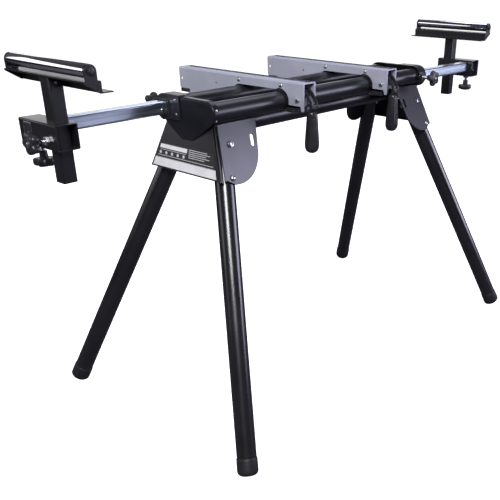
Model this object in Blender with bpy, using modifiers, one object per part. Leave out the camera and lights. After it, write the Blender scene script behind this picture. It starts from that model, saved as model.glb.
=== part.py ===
"""Folding mitre saw stand with a roller support on each extension bar.

Frame: X runs along the beam, -Y is the front where the clamp levers are, +Z is up,
and the origin is on the floor under the middle of the stand.  The two ends are the
same assembly turned half a turn about Z.
"""

import math

import bmesh
import bpy
from mathutils import Matrix, Vector

# Beam: two upper tubes and one lower tube
TUBE_RADIUS = 0.0215
TUBE_WALL = 0.0014
TUBE_Y = 0.066
TUBE_Z = 0.727
LOWER_TUBE_Z = 0.680
CAP_X = 0.415
CAP_SHEET = 0.0024
CAP_RADIUS = 0.0262
CAP_FLANGE = 0.014

# Legs
LEG_RADIUS = 0.02225
LEG_WALL = 0.0016
LEG_LENGTH = 0.7236
LEG_HEAD = 0.020
FOOT_INSET = 0.006
LEG_PIVOT = Vector((0.3766, 0.0683, 0.6527))
SIDE_SLOPE = math.radians(21.37)
LEG_SPLAY = math.radians(16.71)
FOLD_TILT_INSIDE = math.radians(3.8)
FOLD_TILT_OUTSIDE = math.radians(4.6)
LOCK_DISTANCE = 0.0735
PLATE_GAP = 0.0020
PLATE_SHEET = 0.0025
FOOT_RADIUS = 0.0238
FOOT_LENGTH = 0.040

# Leg panels at the two ends
PANEL_TOP = Vector((0.405, 0.0, 0.7025))
PANEL_DROP = 0.109
PANEL_LEAN = 0.0275
PANEL_TOP_HALF = 0.0732
PANEL_BOTTOM_HALF = 0.1140
PANEL_SHEET = 0.002
PANEL_FLANGE = 0.008

# Extension bar, its sleeve and its lock knob
BAR_SIDE = 0.028
BAR_WALL = 0.0018
BAR_END_X = 0.7410
BAR_INNER_X = 0.060
SLEEVE_X = (0.4180, 0.3835)
SLEEVE_FRONT_Y = 0.0150
SLEEVE_Z = (0.7030, 0.7560)
SLEEVE_RADIUS = 0.0290
SLEEVE_SHEET = 0.0027
BAR_KNOB_X = 0.3935
POST_KNOB_Z = 0.7155

# Junction block and post
BLOCK_X = (0.7414, 0.6952)
BLOCK_Y = (-0.0300, 0.0941)
BLOCK_Z = (0.6977, 0.7460)
BLOCK_SHEET = 0.0025
POST_X = 0.7162
POST_SIDE = 0.0282
POST_Z = (0.6340, 0.8264)

# Roller and its cradle
CRADLE_HALF = 0.128
CRADLE_SHEET = 0.0025
CRADLE_TOP = 0.8293
CRADLE_BOTTOM = 0.8075
CRADLE_OUTER_X = 0.7330
CRADLE_WALL_X = 0.6987
CRADLE_FLANGE_X = 0.6760
ROLLER_X = 0.7177
ROLLER_Z = 0.8452
ROLLER_RADIUS = 0.012
ROLLER_HALF = 0.1235
AXLE_RADIUS = 0.0040

# Mount arms
ARM_X = {"left": -0.1631, "right": 0.1708}
ARM_WIDTH = 0.042
ARM_SHEET = 0.003
ARM_TOP = 0.7725
ARM_Y = (-0.139, 0.286)
LEVER_PIVOT = Vector((0.0, -0.1207, 0.7338))
LEVER_BOLT_RADIUS = 0.0040

GAP = 0.0003
SEGMENTS = 24

# Colours and finishes
POWDER_BLACK = ((0.030, 0.029, 0.033), 0.0, 0.32)
GREY_PAINT = ((0.60, 0.61, 0.66), 0.0, 0.40)
GALVANISED = ((0.62, 0.67, 0.73), 1.0, 0.38)
CHROME = ((0.80, 0.80, 0.82), 1.0, 0.08)
ZINC = ((0.66, 0.66, 0.68), 1.0, 0.30)
BLACK_PLASTIC = ((0.025, 0.025, 0.027), 0.0, 0.45)
LABEL_FACE = ((0.72, 0.72, 0.70), 0.0, 0.50)


# ---------------------------------------------------------------- scene helpers

def clear_scene():
    for obj in list(bpy.data.objects):
        bpy.data.objects.remove(obj, do_unlink=True)
    for collection in list(bpy.data.collections):
        bpy.data.collections.remove(collection)


def new_collection(name):
    collection = bpy.data.collections.new(name)
    bpy.context.scene.collection.children.link(collection)
    return collection


def new_material(name, finish):
    colour, metallic, roughness = finish
    material = bpy.data.materials.new(name)
    material.use_nodes = True
    shader = material.node_tree.nodes["Principled BSDF"]
    shader.inputs["Base Color"].default_value = (*colour, 1.0)
    shader.inputs["Metallic"].default_value = metallic
    shader.inputs["Roughness"].default_value = roughness
    material.diffuse_color = (*colour, 1.0)
    return material


def basis(origin, x_axis, z_axis):
    """A placement whose local X and Z are the given directions."""
    z = Vector(z_axis).normalized()
    x = Vector(x_axis).normalized()
    y = z.cross(x)
    matrix = Matrix((x, y, z)).transposed().to_4x4()
    matrix.translation = Vector(origin)
    return matrix


def along_x(origin=(0.0, 0.0, 0.0)):
    """Outlines drawn in (Y, Z), thickness along X."""
    return basis(origin, (0, 1, 0), (1, 0, 0))


def along_y(origin=(0.0, 0.0, 0.0)):
    """Outlines drawn in (X, Z), thickness along -Y."""
    return basis(origin, (1, 0, 0), (0, -1, 0))


def along_z(origin=(0.0, 0.0, 0.0)):
    return Matrix.Translation(Vector(origin))


# ---------------------------------------------------------------- outlines

def arc(radius, start, end, steps, centre=(0.0, 0.0)):
    points = []
    for index in range(steps + 1):
        angle = math.radians(start + (end - start) * index / steps)
        x = centre[0] + radius * math.cos(angle)
        y = centre[1] + radius * math.sin(angle)
        points.append((x, y))
    return points


def circle(radius, centre=(0.0, 0.0), steps=SEGMENTS):
    return arc(radius, 0, 360, steps, centre)[:-1]


def rounded_box(low, high, radius, steps=3):
    (x0, y0), (x1, y1) = low, high
    corners = [(x1, y1, 0), (x0, y1, 90), (x0, y0, 180), (x1, y0, 270)]
    points = []
    for x, y, start in corners:
        inset_x = x - radius if x == x1 else x + radius
        inset_y = y - radius if y == y1 else y + radius
        points += arc(radius, start, start + 90, steps, (inset_x, inset_y))
    return points


def square(side, radius, centre=(0.0, 0.0), steps=3):
    half = side / 2
    low = (centre[0] - half, centre[1] - half)
    high = (centre[0] + half, centre[1] + half)
    return rounded_box(low, high, radius, steps)


def slot(length, width, centre, steps=8):
    """A slot whose long side runs along the second axis."""
    reach = (length - width) / 2
    upper = arc(width / 2, 0, 180, steps, (centre[0], centre[1] + reach))
    lower = arc(width / 2, 180, 360, steps, (centre[0], centre[1] - reach))
    return upper + lower


def lobed(radius, depth, lobes, steps):
    points = []
    for index in range(steps):
        angle = 2 * math.pi * index / steps
        reach = radius - depth * (0.5 - 0.5 * math.cos(lobes * angle))
        points.append((reach * math.cos(angle), reach * math.sin(angle)))
    return points


def hull(points):
    """Convex outline around the points, anticlockwise."""
    ordered = sorted(set(points))

    def half(sequence):
        chain = []
        for p in sequence:
            while len(chain) > 1:
                (ax, ay), (bx, by) = chain[-2], chain[-1]
                if (bx - ax) * (p[1] - ay) - (by - ay) * (p[0] - ax) > 1e-12:
                    break
                chain.pop()
            chain.append(p)
        return chain[:-1]

    return half(ordered) + half(reversed(ordered))


def beam_hull(radius):
    """Rounded triangle around the three beam tubes, in (Y, Z)."""
    centres = [(-TUBE_Y, TUBE_Z), (TUBE_Y, TUBE_Z), (0.0, LOWER_TUBE_Z)]
    points = []
    for centre in centres:
        points += circle(radius, centre, 24)
    return hull(points)


# ---------------------------------------------------------------- solids

class Builder:
    """Makes the named solids and keeps the cutters apart from them."""

    def __init__(self):
        self.parts = new_collection("mitre_saw_stand")
        self.cutters = new_collection("cutters")

    def mesh_of(self, obj):
        bpy.context.view_layer.update()
        graph = bpy.context.evaluated_depsgraph_get()
        mesh = bpy.data.meshes.new_from_object(obj.evaluated_get(graph))
        data = obj.data
        bpy.data.objects.remove(obj, do_unlink=True)
        if isinstance(data, bpy.types.Curve):
            bpy.data.curves.remove(data)
        else:
            bpy.data.meshes.remove(data)
        cage = bmesh.new()
        cage.from_mesh(mesh)
        bmesh.ops.remove_doubles(cage, verts=cage.verts, dist=0.00001)
        bmesh.ops.recalc_face_normals(cage, faces=cage.faces)
        cage.to_mesh(mesh)
        cage.free()
        return mesh

    def place(self, name, mesh, matrix, finish=None):
        mesh.name = name
        obj = bpy.data.objects.new(name, mesh)
        obj.matrix_world = matrix
        if finish is None:
            self.cutters.objects.link(obj)
            obj.hide_render = True
            obj.display_type = "WIRE"
            return obj
        self.parts.objects.link(obj)
        mesh.materials.clear()
        mesh.materials.append(new_material(name, finish))
        mesh.shade_smooth()
        mesh.set_sharp_from_angle(angle=math.radians(32))
        return obj

    def prism(self, name, loops, length, matrix, finish=None):
        """Flat outline with its inner loops as holes, thick along local Z."""
        curve = bpy.data.curves.new(name, "CURVE")
        curve.dimensions = "2D"
        curve.fill_mode = "BOTH"
        curve.extrude = length / 2
        for loop in loops:
            spline = curve.splines.new("POLY")
            spline.points.add(len(loop) - 1)
            for point, (x, y) in zip(spline.points, loop):
                point.co = (x, y, 0.0, 1.0)
            spline.use_cyclic_u = True
        obj = bpy.data.objects.new(name, curve)
        self.cutters.objects.link(obj)
        return self.place(name, self.mesh_of(obj), matrix, finish)

    def turned(self, name, profile, matrix, finish=None, closed=False, steps=SEGMENTS):
        """Profile of (radius, height) pairs turned about local Z."""
        mesh = bpy.data.meshes.new(name)
        edges = [(i, i + 1) for i in range(len(profile) - 1)]
        if closed:
            edges.append((len(profile) - 1, 0))
        mesh.from_pydata([(r, 0.0, z) for r, z in profile], edges, [])
        obj = bpy.data.objects.new(name, mesh)
        self.cutters.objects.link(obj)
        screw = obj.modifiers.new("Screw", "SCREW")
        screw.axis = "Z"
        screw.steps = steps
        screw.render_steps = steps
        screw.use_merge_vertices = True
        screw.merge_threshold = 0.00001
        screw.use_smooth_shade = True
        return self.place(name, self.mesh_of(obj), matrix, finish)

    def tube(self, name, outer, inner, low, high, matrix, finish):
        profile = [(outer, high), (outer, low), (inner, low), (inner, high)]
        return self.turned(name, profile, matrix, finish, closed=True)

    def rod(self, name, radius, low, high, matrix, finish=None, steps=16):
        profile = [(0.0, high), (radius, high), (radius, low), (0.0, low)]
        return self.turned(name, profile, matrix, finish, steps=steps)

    def block(self, name, low, high, matrix=None, finish=None):
        low, high = Vector(low), Vector(high)
        cage = bmesh.new()
        bmesh.ops.create_cube(cage, size=1.0)
        bmesh.ops.scale(cage, vec=high - low, verts=cage.verts)
        bmesh.ops.translate(cage, vec=(low + high) / 2, verts=cage.verts)
        mesh = bpy.data.meshes.new(name)
        cage.to_mesh(mesh)
        cage.free()
        return self.place(name, mesh, matrix or Matrix.Identity(4), finish)

    def hexagon(self, name, across, low, high, matrix):
        return self.prism(name, [circle(across / math.sqrt(3), steps=6)], high - low,
                          matrix @ along_z((0, 0, (low + high) / 2)))


def combine(obj, operation, *others):
    for other in others:
        modifier = obj.modifiers.new(other.name, "BOOLEAN")
        modifier.operation = operation
        modifier.object = other
        modifier.solver = "EXACT"
    return obj


def cut(obj, *others):
    return combine(obj, "DIFFERENCE", *others)


def join(obj, *others):
    return combine(obj, "UNION", *others)


def soften(obj, width, segments=1, angle=40):
    bevel = obj.modifiers.new("Bevel", "BEVEL")
    bevel.width = width
    bevel.segments = segments
    bevel.limit_method = "ANGLE"
    bevel.angle_limit = math.radians(angle)
    return obj


# ---------------------------------------------------------------- small hardware

def hex_bolt(make, name, matrix, radius, low, high, head_across, head_high, nut_high):
    """Shank from low to high, a hexagon head above high and a nut below low."""
    bolt = make.rod(name, radius, low - nut_high, high + head_high / 2, matrix, ZINC)
    head = make.hexagon(name + "_head", head_across, high, high + head_high, matrix)
    join(bolt, head)
    if nut_high > 0:
        join(bolt, make.hexagon(name + "_nut", head_across, low - nut_high * 0.8, low, matrix))
    return bolt


def star_knob(make, name, matrix, head, hub, screw_tip, screw_radius=0.0039):
    """Five-lobed knob: head and hub are (low, high) along local Z, the screw points up."""
    knob = make.prism(name, [lobed(0.0215, 0.0050, 5, 30)], head[1] - head[0],
                      matrix @ along_z((0, 0, (head[0] + head[1]) / 2)), BLACK_PLASTIC)
    soften(knob, 0.0022)
    middle = (head[0] + head[1]) / 2
    profile = [(0.0, screw_tip), (screw_radius - 0.0006, screw_tip),
               (screw_radius, screw_tip - 0.0008), (screw_radius, hub[1]),
               (0.0060, hub[1]), (0.0072, hub[0]), (0.0072, middle), (0.0, middle)]
    stem = make.turned(name + "_stem", profile, matrix, steps=12)
    return join(knob, stem)


# ---------------------------------------------------------------- beam

def build_beam(make):
    lengths = (-CAP_X + CAP_SHEET + 2 * GAP, CAP_X - CAP_SHEET - 2 * GAP)
    places = {"front_tube": (-TUBE_Y, TUBE_Z), "rear_tube": (TUBE_Y, TUBE_Z),
              "lower_tube": (0.0, LOWER_TUBE_Z)}
    for name, (y, z) in places.items():
        tube = make.tube(name, TUBE_RADIUS, TUBE_RADIUS - TUBE_WALL, *lengths,
                         along_x((0, y, z)), POWDER_BLACK)
        if y:
            out = math.copysign(1, y)
            cut(tube, make.rod(name + "_screw_hole", 0.0050, 0.0, 0.04,
                               basis((-out * BAR_KNOB_X, y, z), (1, 0, 0), (0, out, 0)), steps=12))


def build_end_cap(make, side, turn):
    """Pressed plate over the three tube ends, its rim turned in over them."""
    depth = CAP_SHEET + CAP_FLANGE
    cap = make.prism(side + "_end_cap", [beam_hull(CAP_RADIUS)], depth,
                     turn @ along_x((-CAP_X + depth / 2, 0, 0)), POWDER_BLACK)
    inside = make.prism(side + "_cap_inside", [beam_hull(CAP_RADIUS - CAP_SHEET)], CAP_FLANGE * 2,
                        turn @ along_x((-CAP_X + CAP_SHEET + CAP_FLANGE, 0, 0)))
    opening = make.rod(side + "_cap_opening", TUBE_RADIUS - TUBE_WALL, -0.02, 0.02,
                       turn @ along_x((-CAP_X, TUBE_Y, TUBE_Z)), steps=SEGMENTS)
    return cut(cap, inside, opening)


def build_sleeve(make, side, turn):
    """Guide plate on the cap for the bar, with a wrap over the tube that holds the lock screw."""
    outer_x, inner_x = SLEEVE_X
    low, high = SLEEVE_Z
    face_x = outer_x - SLEEVE_SHEET
    centre = (TUBE_Y, TUBE_Z)
    front = SLEEVE_FRONT_Y
    outline = arc(SLEEVE_RADIUS, 90, -80, 14, centre)
    outline += [(TUBE_Y - 0.012, low), (front, low), (front, high)]
    hole = square(BAR_SIDE + 2 * GAP, 0.0025, centre)
    sleeve = make.prism(side + "_bar_sleeve", [outline, hole], SLEEVE_SHEET,
                        turn @ along_x((-(outer_x + face_x) / 2, 0, 0)), POWDER_BLACK)
    wrap = arc(SLEEVE_RADIUS, 90, -35, 10, centre) + arc(CAP_RADIUS + GAP, -35, 90, 10, centre)
    wrap += [(front, TUBE_Z + CAP_RADIUS + GAP), (front, high)]
    wrap_x = face_x + 0.0010
    bend = make.prism(side + "_sleeve_wrap", [wrap], wrap_x - inner_x,
                      turn @ along_x((-(wrap_x + inner_x) / 2, 0, 0)))
    screw_line = turn @ basis((-BAR_KNOB_X, TUBE_Y, TUBE_Z), (1, 0, 0), (0, 1, 0))
    boss = make.rod(side + "_sleeve_boss", 0.0092, SLEEVE_RADIUS - 0.0020, SLEEVE_RADIUS + 0.0035,
                    screw_line, steps=16)
    join(sleeve, bend, boss)
    screw = make.rod(side + "_sleeve_screw_hole", 0.0045, 0.0, 0.05, screw_line, steps=12)
    return cut(sleeve, screw)


# ---------------------------------------------------------------- legs

def leg_frame(sx, sy):
    """Pivot, hinge axis, folded direction and open direction of one leg."""
    inboard = Vector((-sx, 0, 0))
    down = Vector((0, sy * math.sin(SIDE_SLOPE), -math.cos(SIDE_SLOPE)))
    outward = Vector((0, sy * math.cos(SIDE_SLOPE), math.sin(SIDE_SLOPE)))
    tilt = FOLD_TILT_INSIDE if sx * sy > 0 else -FOLD_TILT_OUTSIDE
    folded = math.cos(tilt) * inboard - math.sin(tilt) * outward
    opened = math.cos(LEG_SPLAY) * down - math.sin(LEG_SPLAY) * inboard
    hinge = folded.cross(opened).normalized()
    if hinge.dot(outward) < 0:
        hinge = -hinge
    pivot = Vector((sx * LEG_PIVOT.x, sy * LEG_PIVOT.y, LEG_PIVOT.z))
    return pivot, hinge, folded, opened


def plate_outline(flip, trim):
    """Leg plate around its pivot: u inboard, v up the slope."""
    outline = [(0.109, 0.0455), (trim - 0.0225, 0.0445), (-0.0470, -0.0775)]
    outline += arc(0.0870, 258, 338, 14)
    return [(u, v * flip) for u, v in outline]


def build_leg(make, name, sx, sy):
    pivot, hinge, folded, opened = leg_frame(sx, sy)
    plate_low = LEG_RADIUS + PLATE_GAP
    plate_high = plate_low + PLATE_SHEET
    across = basis(pivot, folded, hinge)
    up_slope = (across.to_3x3() @ Vector((0, 1, 0))).z > 0
    flip = 1 if up_slope else -1
    lock = pivot + opened * LOCK_DISTANCE
    local_lock = across.inverted() @ lock

    holes = [circle(0.0047, steps=16), circle(0.0052, (local_lock.x, local_lock.y), 16),
             slot(0.025, 0.0095, (0.0725, -0.001 * flip))]
    trim = 0.0 if sx * sy > 0 else 0.0040
    make.prism(name + "_leg_plate", [plate_outline(flip, trim)] + holes, PLATE_SHEET,
               across @ along_z((0, 0, (plate_low + plate_high) / 2)), POWDER_BLACK)

    down_leg = basis(pivot, hinge, opened)
    leg = make.tube(name + "_leg", LEG_RADIUS, LEG_RADIUS - LEG_WALL, -LEG_HEAD,
                    LEG_LENGTH - FOOT_INSET, down_leg, POWDER_BLACK)
    bolt_hole = make.rod(name + "_leg_bolt_hole", 0.0047, -0.05, 0.05, across, steps=12)
    lock_hole = make.rod(name + "_leg_lock_hole", 0.0052, 0.0, 0.05, across @ along_z(local_lock),
                         steps=12)
    cut(leg, bolt_hole, lock_hole)

    inner = LEG_RADIUS + GAP
    inside = LEG_LENGTH - FOOT_INSET + GAP
    profile = [(0.0, LEG_LENGTH)]
    profile += [(FOOT_RADIUS - 0.010 + r, LEG_LENGTH - 0.010 + h)
                for r, h in reversed(arc(0.010, 0, 90, 3))]
    profile += [(FOOT_RADIUS, LEG_LENGTH - FOOT_LENGTH), (inner, LEG_LENGTH - FOOT_LENGTH),
                (inner, inside), (0.0, inside)]
    make.turned(name + "_foot", profile, down_leg, BLACK_PLASTIC)

    hex_bolt(make, name + "_pivot_bolt", across, 0.0044, -LEG_RADIUS - 0.0006,
             plate_high + GAP, 0.0135, 0.0048, 0.0060)

    tip = LEG_RADIUS + GAP
    top = plate_high + 0.0050
    pin = [(0.0, top), (0.0035, top - 0.0004), (0.0058, top - 0.0022), (0.0062, plate_high + 0.0004),
           (0.0046, plate_high + 0.0004), (0.0046, tip), (0.0, tip)]
    make.turned(name + "_lock_pin", pin, across @ along_z((local_lock.x, local_lock.y, 0)),
                ZINC, steps=12)


def build_panel(make, side, turn):
    """Sloping end panel between the two leg plates, notched around the end cap."""
    slope = math.hypot(PANEL_DROP, PANEL_LEAN)
    across = Vector((0, 1, 0))
    up = Vector((PANEL_LEAN, 0, PANEL_DROP)) / slope
    outward = across.cross(up)
    if outward.x > 0:
        outward = -outward
        across = -across
    middle = Vector((-PANEL_TOP.x, 0, PANEL_TOP.z)) - up * slope / 2
    place = turn @ basis(middle, across, outward)

    def outline(inset):
        top = PANEL_TOP_HALF - inset
        bottom = PANEL_BOTTOM_HALF - inset
        return [(top, slope / 2), (-top, slope / 2), (-bottom, -slope / 2), (bottom, -slope / 2)]

    panel = make.prism(side + "_leg_panel", [outline(0.0)], PANEL_FLANGE,
                       place @ along_z((0, 0, -PANEL_FLANGE / 2)), POWDER_BLACK)
    hollow = [(x, y * 1.3) for x, y in outline(PANEL_SHEET)]
    inside = make.prism(side + "_panel_inside", [hollow], PANEL_FLANGE,
                        place @ along_z((0, 0, -PANEL_SHEET - PANEL_FLANGE / 2)))
    if side == "left":
        low, high = -slope / 2 + 0.0035, -slope / 2 + 0.0555
        spread = (PANEL_BOTTOM_HALF - PANEL_TOP_HALF) / slope
        half_low = PANEL_BOTTOM_HALF - 0.0055 - spread * 0.0035
        half_high = PANEL_BOTTOM_HALF - 0.0055 - spread * 0.0555
        face = [(half_high, high), (-half_high, high), (-half_low, low), (half_low, low)]
        make.prism("label_plate", [face], 0.0006, place @ along_z((0, 0, 0.0006)), LABEL_FACE)
    notch = make.prism(side + "_panel_notch", [beam_hull(CAP_RADIUS + 0.0006)], 0.12,
                       turn @ along_x((-CAP_X, 0, 0)))
    return cut(panel, inside, notch)


# ---------------------------------------------------------------- extension

def build_bar(make, side, turn):
    middle = (BAR_END_X + BAR_INNER_X) / 2
    outline = square(BAR_SIDE, 0.0025)
    hole = square(BAR_SIDE - 2 * BAR_WALL, 0.0012)
    make.prism(side + "_bar", [outline, hole], BAR_END_X - BAR_INNER_X,
               turn @ along_x((-middle, TUBE_Y, TUBE_Z)), GALVANISED)
    make.prism(side + "_bar_plug", [square(BAR_SIDE - 2 * BAR_WALL - 2 * GAP, 0.0010)], 0.012,
               turn @ along_x((-BAR_END_X + 0.006, TUBE_Y, TUBE_Z)), BLACK_PLASTIC)
    star_knob(make, side + "_bar_lock_knob",
              turn @ basis((-BAR_KNOB_X, TUBE_Y, TUBE_Z), (1, 0, 0), (0, -1, 0)),
              head=(-0.0770, -0.0615), hub=(-0.0615, -0.0500), screw_tip=-BAR_SIDE / 2 - 2 * GAP)


def build_block(make, side, turn):
    """Folded box that crosses the bar and the post, open at both ends."""
    x0, x1 = -BLOCK_X[0], -BLOCK_X[1]
    z0, z1 = BLOCK_Z
    sheet = BLOCK_SHEET
    outer = rounded_box((x0, z0), (x1, z1), 0.0025, 2)
    inner = rounded_box((x0 + sheet, z0 + sheet), (x1 - sheet, z1 - sheet), 0.0008, 2)
    middle = (BLOCK_Y[0] + BLOCK_Y[1]) / 2
    block = make.prism(side + "_junction_block", [outer], BLOCK_Y[1] - BLOCK_Y[0],
                       turn @ along_y((0, middle, 0)), POWDER_BLACK)
    inside = make.prism(side + "_block_inside", [inner], 0.2, turn @ along_y((0, middle, 0)))
    cut(block, inside)

    post_nut = make.hexagon(side + "_post_nut", 0.0150, -0.0065, 0.0010,
                            turn @ basis((x0, 0, POST_KNOB_Z), (0, 1, 0), (1, 0, 0)))
    bar_nut = make.hexagon(side + "_bar_nut", 0.0150, -0.0065, 0.0010,
                           turn @ along_z((-0.7183, TUBE_Y, z0)))
    join(block, post_nut, bar_nut)

    post_hole = make.prism(side + "_post_hole", [square(POST_SIDE + 4 * GAP, 0.0020)], 0.10,
                           turn @ along_z((-POST_X, 0, TUBE_Z)))
    bar_hole = make.prism(side + "_bar_hole", [square(BAR_SIDE + 2 * GAP, 0.0025)], 0.10,
                          turn @ along_x((-POST_X, TUBE_Y, TUBE_Z)))
    post_screw = make.rod(side + "_post_screw_hole", 0.0045, -0.015, 0.008,
                          turn @ basis((x0, 0, POST_KNOB_Z), (0, 1, 0), (1, 0, 0)))
    bar_screw = make.rod(side + "_bar_screw_hole", 0.0045, -0.015, 0.008,
                         turn @ along_z((-0.7183, TUBE_Y, z0)))
    cut(block, post_hole, bar_hole, post_screw, bar_screw)

    post_face = -POST_X - POST_SIDE / 2
    star_knob(make, side + "_post_knob",
              turn @ basis((post_face, 0, POST_KNOB_Z), (0, 1, 0), (1, 0, 0)),
              head=(-0.0520, -0.0360), hub=(-0.0360, -0.0260), screw_tip=-GAP)
    star_knob(make, side + "_bar_clamp_knob",
              turn @ along_z((-0.7183, TUBE_Y, TUBE_Z - BAR_SIDE / 2)),
              head=(-0.0590, -0.0430), hub=(-0.0430, -0.0280), screw_tip=-GAP)


def build_post(make, side, turn):
    outline = square(POST_SIDE, 0.0022)
    hole = square(POST_SIDE - 2 * BAR_WALL, 0.0010)
    make.prism(side + "_post", [outline, hole], POST_Z[1] - POST_Z[0],
               turn @ along_z((-POST_X, 0, (POST_Z[0] + POST_Z[1]) / 2)), POWDER_BLACK)


def build_cradle(make, side, turn):
    """Z-shaped rail with two upright ears that carry the roller."""
    sheet = CRADLE_SHEET
    top, bottom = CRADLE_TOP, CRADLE_BOTTOM
    outer, wall, flange = -CRADLE_OUTER_X, -CRADLE_WALL_X, -CRADLE_FLANGE_X
    rail = [(outer, top), (outer, top - sheet), (wall - sheet, top - sheet), (wall - sheet, bottom),
            (flange, bottom), (flange, bottom + sheet), (wall, bottom + sheet), (wall, top)]
    cradle = make.prism(side + "_roller_cradle", [rail], 2 * CRADLE_HALF - 0.001,
                        turn @ along_y(), POWDER_BLACK)
    ear = [(wall, top), (wall, bottom), (wall - sheet, bottom), (outer, top - sheet), (outer, top)]
    ear += list(reversed(arc(0.012, 0, 180, 12, (-ROLLER_X, ROLLER_Z))))
    ear_shape = ear[:5] + ear[5:]
    for label, y in (("front", -CRADLE_HALF + sheet / 2), ("rear", CRADLE_HALF - sheet / 2)):
        join(cradle, make.prism(side + "_" + label + "_ear", [ear_shape], sheet,
                                turn @ along_y((0, y, 0))))
    hole = make.rod(side + "_axle_hole", AXLE_RADIUS + GAP, -0.2, 0.2,
                    turn @ along_y((-ROLLER_X, 0, ROLLER_Z)), steps=16)
    cut(cradle, hole)

    place = turn @ along_y((-ROLLER_X, 0, ROLLER_Z))
    radius, half = ROLLER_RADIUS, ROLLER_HALF
    roller = [(AXLE_RADIUS + GAP, half - 0.001), (0.0090, half - 0.001), (0.0095, half),
              (radius - 0.0008, half), (radius, half - 0.0008), (radius, -half + 0.0008),
              (radius - 0.0008, -half), (0.0095, -half), (0.0090, -half + 0.001),
              (AXLE_RADIUS + GAP, -half + 0.001)]
    make.turned(side + "_roller", roller, place, CHROME, closed=True)
    hex_bolt(make, side + "_roller_axle", place, AXLE_RADIUS, -CRADLE_HALF - GAP,
             CRADLE_HALF + GAP, 0.0100, 0.0040, 0.0060)


# ---------------------------------------------------------------- mount arms

def build_arm(make, side):
    middle = ARM_X[side]
    y0, y1 = ARM_Y
    top = ARM_TOP
    inner = 0.7695
    outline = [(y1, top), (y0, top), (y0, 0.7125)]
    outline += arc(0.0035, 180, 270, 2, (y0 + 0.0035, 0.7125))
    outline += [(-0.1310, 0.7090), (-0.1285, 0.7205)]
    outline += reversed(arc(0.0280, 63, 193, 10, (-TUBE_Y, TUBE_Z)))
    outline += reversed(arc(TUBE_RADIUS + 0.0030, -37, 90, 8, (TUBE_Y, TUBE_Z)))
    outline += [(0.0900, 0.7120), (0.2490, 0.7120), (0.2490, 0.7208), (y1 - 0.004, 0.7208),
                (y1, 0.7248)]
    arm = make.prism(side + "_mount_arm", [outline], ARM_WIDTH, along_x((middle, 0, 0)), GREY_PAINT)
    half = ARM_WIDTH / 2 - ARM_SHEET
    channel = make.block(side + "_arm_channel", (middle - half, -0.3, 0.6),
                         (middle + half, 0.4, inner))
    through = make.rod(side + "_arm_hole", 0.0035, -0.05, 0.05, along_x((middle, 0.2776, 0.745)),
                       steps=16)
    small = make.rod(side + "_arm_small_hole", 0.0020, -0.05, -0.010,
                     along_x((middle, 0.1477, 0.745)), steps=12)
    cut(arm, channel, through, small)
    reach = ARM_WIDTH / 2 + 0.0035
    bolt = make.rod(side + "_lever_bolt", LEVER_BOLT_RADIUS, -reach, reach,
                    along_x((middle, LEVER_PIVOT.y, LEVER_PIVOT.z)), steps=16)
    heads = [make.hexagon(side + "_lever_bolt_head_" + label, 0.0110, low, low + 0.004,
                          along_x((middle, LEVER_PIVOT.y, LEVER_PIVOT.z)))
             for label, low in (("a", -reach), ("b", reach - 0.004))]
    join(arm, bolt, *heads)

    ring = arc(0.0262, 62, 192, 8) + list(reversed(arc(TUBE_RADIUS + GAP, 62, 192, 8)))
    saddle = make.prism(side + "_arm_saddle", [ring], 2 * half + 0.001,
                        along_x((middle, -TUBE_Y, TUBE_Z)))
    web = make.block(side + "_arm_web", (middle - half - 0.0005, -0.0770, 0.7510),
                     (middle + half + 0.0005, -0.0550, 0.7700))
    join(arm, web, saddle)
    rest = make.block(side + "_arm_rest", (middle - half - 0.0005, 0.0560, TUBE_Z + TUBE_RADIUS + GAP),
                      (middle + half + 0.0005, 0.0760, 0.7700))
    join(arm, rest)

    pad = make.block(side + "_rear_pad", (middle - 0.0205, 0.2497, 0.7105),
                     (middle + 0.0205, 0.2855, 0.7204), finish=BLACK_PLASTIC)
    plug = make.block(side + "_pad_plug", (middle - half + GAP, 0.2520, 0.7150),
                      (middle + half - GAP, 0.2700, 0.7360))
    join(pad, plug)


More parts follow.
